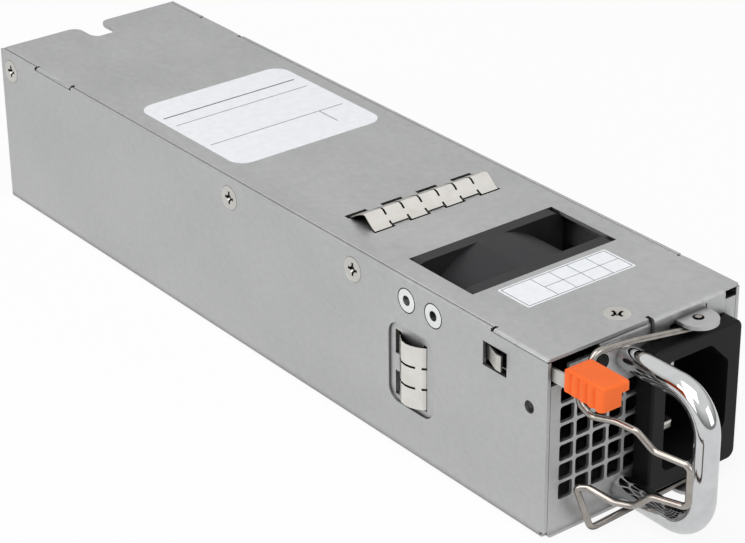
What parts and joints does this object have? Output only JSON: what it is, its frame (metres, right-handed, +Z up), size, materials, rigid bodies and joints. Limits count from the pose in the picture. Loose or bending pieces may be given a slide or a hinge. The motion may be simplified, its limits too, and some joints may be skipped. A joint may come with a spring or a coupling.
{
  "type": "hot swap server power supply",
  "caption": "Slim folded-steel server power supply with a pull handle, mains inlet, swinging cord bail, sprung side latch with a thumb tab, and a fan behind the vents.",
  "frame": {"origin": "centre of the case's base footprint: halfway from the front panel's outer face to the case's rear edge, on the base plane", "axes": "+X to the right seen from the front, +Y from the front panel to the rear connector, +Z up"},
  "size_m": [0.0522, 0.2262, 0.0426],
  "materials": {
    "zinc_sheet": "zinc-coated sheet, soft satin with a faint mottle",
    "black_plastic": "fine moulded texture",
    "nickel": "nickel plated, satin",
    "chrome": "polished",
    "spring_wire": "drawn stainless wire",
    "spring_steel": "bright rolled strip",
    "orange_plastic": "fine satin",
    "bright_strip": "bright plated strip",
    "lamp_lens": "dark lens, unlit",
    "fan_plastic": "satin black",
    "copper_winding": "enamelled wire, gloss",
    "green_board": "solder mask",
    "insulating_film": "thin film, satin",
    "gold_contact": "gold flash",
    "brown_insulation": "satin sleeve",
    "ferrite": "sintered, matt",
    "yellow_box": "moulded box, satin",
    "bare_aluminium": "extruded, satin",
    "capacitor_sleeve": "shrunk sleeve",
    "yellow_tape": "wound tape"
  },
  "bodies": {
    "chassis": {"chassis_pan": "zinc_sheet", "top_cover": "zinc_sheet", "front_panel": "zinc_sheet", "rear_panel": "zinc_sheet", "inlet_housing": "black_plastic", "inlet_pins": "nickel", "pull_handle": "chrome", "handle_screws": "nickel", "latch_foot": "spring_steel", "latch_rivets": "nickel", "emi_strip_top": "bright_strip", "emi_strip_side": "bright_strip", "cover_screws": "nickel", "top_screw": "nickel", "status_lamp": "lamp_lens", "fan_frame": "fan_plastic", "fan_stator": "copper_winding", "main_board": "green_board", "board_standoffs": "nickel", "board_screws": "nickel", "insulating_sheet": "insulating_film", "edge_contacts": "gold_contact", "inlet_wires": "brown_insulation", "emi_choke_core": "ferrite", "emi_choke_winding": "copper_winding", "x_capacitors": "yellow_box", "bridge_rectifier": "black_plastic", "primary_heatsink": "bare_aluminium", "pfc_choke_core": "ferrite", "pfc_choke_winding": "copper_winding", "bulk_capacitor": "capacitor_sleeve", "power_transistors": "black_plastic", "transformer_core": "ferrite", "transformer_winding": "yellow_tape", "secondary_heatsink": "bare_aluminium", "output_capacitors": "capacitor_sleeve", "control_board": "green_board"},
    "latch": {"latch_blade": "spring_steel", "thumb_tab": "orange_plastic"},
    "bail": {"cord_bail": "spring_wire"},
    "rotor": {"fan_rotor": "fan_plastic", "fan_shaft": "spring_steel"}
  },
  "joints": [
    {"name": "latch_press", "type": "hinge", "parent": "chassis", "child": "latch", "pos_m": [-0.0241, -0.0694, 0.0347], "axis": [0, 0, 1], "range_deg": [0, 4], "stiffness_Nm_per_rad": 1.5, "springref_deg": -2.86},
    {"name": "bail_swing", "type": "hinge", "parent": "chassis", "child": "bail", "pos_m": [0.0111, -0.1029, 0.0196], "axis": [0, 0, 1], "range_deg": [0, 170]},
    {"name": "fan_spin", "type": "hinge", "parent": "chassis", "child": "rotor", "pos_m": [0, -0.061, 0.02], "axis": [0, 1, 0], "continuous": true}
  ]
}
